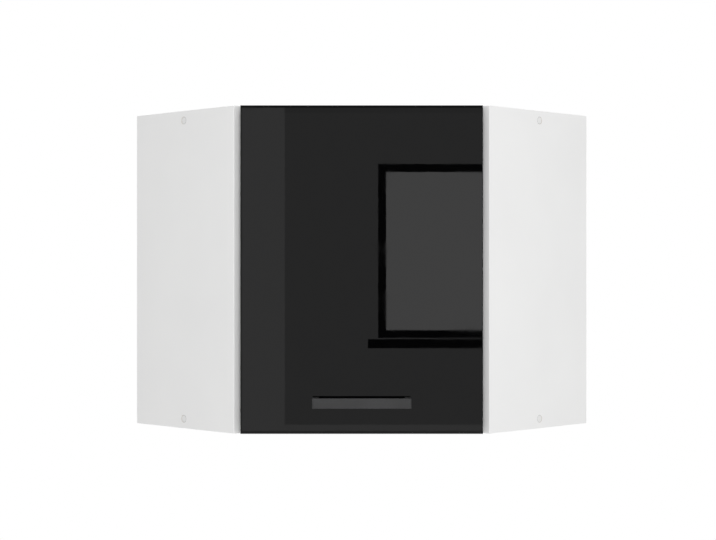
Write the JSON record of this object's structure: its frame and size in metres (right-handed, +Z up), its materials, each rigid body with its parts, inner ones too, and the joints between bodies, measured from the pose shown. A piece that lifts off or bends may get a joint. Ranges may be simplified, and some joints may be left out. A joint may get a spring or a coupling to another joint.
{
  "type": "diagonal corner kitchen wall cabinet",
  "caption": "Diagonal corner kitchen wall cabinet: white carcass, one black high-gloss door on concealed hinges with a dark bar handle, adjustable shelf, wall hangers.",
  "frame": {"origin": "where the two walls of the room corner meet, level with the lower ends of the cabinet's sides", "axes": "+Z up, -Y out of the door into the room, +X to the right of someone facing the door"},
  "size_m": [0.8344, 0.65, 0.57],
  "materials": {
    "carcass_board": "white melamine, satin with a fine grain",
    "edging": "white edging strip, satin",
    "back_board": "white painted hardboard, satin",
    "beech": "plain turned beech",
    "zinc_steel": "zinc plated",
    "nickel_steel": "nickel plated",
    "hook_steel": "zinc plated sheet",
    "white_plastic": "white moulded plastic",
    "grey_plastic": "grey moulded plastic",
    "door_gloss": "black high gloss front and edges, white melamine behind",
    "handle_finish": "dark grey, matt",
    "bumper": "translucent soft pad"
  },
  "bodies": {
    "carcass": {"left_side_panel": "carcass_board", "right_side_panel": "carcass_board", "left_side_edging": "edging", "right_side_edging": "edging", "top_panel": "carcass_board", "bottom_panel": "carcass_board", "top_edging": "edging", "bottom_edging": "edging", "left_back_panel": "back_board", "right_back_panel": "back_board", "rear_corner_post": "carcass_board", "carcass_screws": "zinc_steel", "carcass_dowels": "beech", "screw_caps": "white_plastic", "shelf_supports": "nickel_steel", "upper_hinge_plate": "nickel_steel", "lower_hinge_plate": "nickel_steel", "upper_hinge_arm": "nickel_steel", "lower_hinge_arm": "nickel_steel", "upper_hinge_arm_pins": "nickel_steel", "lower_hinge_arm_pins": "nickel_steel", "hinge_plate_screws": "zinc_steel", "hinge_arm_screws": "zinc_steel", "left_hanger_housing": "white_plastic", "right_hanger_housing": "white_plastic"},
    "inner_links": {"upper_hinge_inner_link": "nickel_steel", "lower_hinge_inner_link": "nickel_steel"},
    "outer_links": {"upper_hinge_outer_links": "nickel_steel", "lower_hinge_outer_links": "nickel_steel"},
    "door": {"door_panel": "door_gloss", "handle": "handle_finish", "handle_screws": "zinc_steel", "door_bumpers": "bumper", "upper_hinge_cup": "nickel_steel", "lower_hinge_cup": "nickel_steel", "upper_hinge_cup_pins": "nickel_steel", "lower_hinge_cup_pins": "nickel_steel", "hinge_cup_screws": "zinc_steel"},
    "shelf": {"shelf": "carcass_board", "shelf_edging": "edging"},
    "left_carriage": {"left_hanger_carriage": "grey_plastic"},
    "left_hook": {"left_hanger_hook": "hook_steel"},
    "left_height_adjuster": {"left_height_screw": "zinc_steel"},
    "left_depth_adjuster": {"left_depth_screw": "zinc_steel"},
    "right_carriage": {"right_hanger_carriage": "grey_plastic"},
    "right_hook": {"right_hanger_hook": "hook_steel"},
    "right_height_adjuster": {"right_height_screw": "zinc_steel"},
    "right_depth_adjuster": {"right_depth_screw": "zinc_steel"}
  },
  "joints": [
    {"name": "door_swing", "type": "hinge", "parent": "inner_links", "child": "door", "pos_m": [-0.19868, -0.60511, 0.285], "axis": [0, 0, -1], "range_deg": [0, 139.46]},
    {"name": "inner_link_swing", "type": "hinge", "parent": "carcass", "child": "inner_links", "pos_m": [-0.16832, -0.5988, 0.285], "axis": [0, 0, 1], "range_deg": [0, 44.51]},
    {"name": "outer_link_swing", "type": "hinge", "parent": "carcass", "child": "outer_links", "pos_m": [-0.17864, -0.60575, 0.285], "axis": [0, 0, 1], "range_deg": [0, 60.19]},
    {"name": "shelf_lift", "type": "slide", "parent": "carcass", "child": "shelf", "axis": [0, 0, 1], "range_m": [0, 0.1]},
    {"name": "left_hook_height", "type": "slide", "parent": "carcass", "child": "left_carriage", "axis": [0, 0, 1], "range_m": [-0.006, 0.006]},
    {"name": "left_hook_depth", "type": "slide", "parent": "left_carriage", "child": "left_hook", "axis": [0.7071, -0.7071, 0], "range_m": [-0.002, 0.005]},
    {"name": "left_height_screw_turn", "type": "hinge", "parent": "carcass", "child": "left_height_adjuster", "pos_m": [-0.35002, -0.44901, 0.5354], "axis": [0.7071, -0.7071, 0], "range_deg": [-1441, 1441]},
    {"name": "left_depth_screw_turn", "type": "hinge", "parent": "left_carriage", "child": "left_depth_adjuster", "pos_m": [-0.35002, -0.44901, 0.52], "axis": [0.7071, -0.7071, 0], "range_deg": [-721, 1801]},
    {"name": "right_hook_height", "type": "slide", "parent": "carcass", "child": "right_carriage", "axis": [0, 0, 1], "range_m": [-0.006, 0.006]},
    {"name": "right_hook_depth", "type": "slide", "parent": "right_carriage", "child": "right_hook", "axis": [-0.7071, -0.7071, 0], "range_m": [-0.002, 0.005]},
    {"name": "right_height_screw_turn", "type": "hinge", "parent": "carcass", "child": "right_height_adjuster", "pos_m": [0.35002, -0.44901, 0.5354], "axis": [-0.7071, -0.7071, 0], "range_deg": [-1441, 1441]},
    {"name": "right_depth_screw_turn", "type": "hinge", "parent": "right_carriage", "child": "right_depth_adjuster", "pos_m": [0.35002, -0.44901, 0.52], "axis": [-0.7071, -0.7071, 0], "range_deg": [-721, 1801]}
  ],
  "couplings": [
    {"joint": "inner_link_swing", "follows": "door_swing", "ratio": 0.3188},
    {"joint": "outer_link_swing", "follows": "door_swing", "ratio": 0.4312},
    {"joint": "left_height_screw_turn", "follows": "left_hook_height", "rad_per_m": 4188.8},
    {"joint": "left_depth_screw_turn", "follows": "left_hook_depth", "rad_per_m": 6283.2},
    {"joint": "right_height_screw_turn", "follows": "right_hook_height", "rad_per_m": 4188.8},
    {"joint": "right_depth_screw_turn", "follows": "right_hook_depth", "rad_per_m": 6283.2}
  ]
}
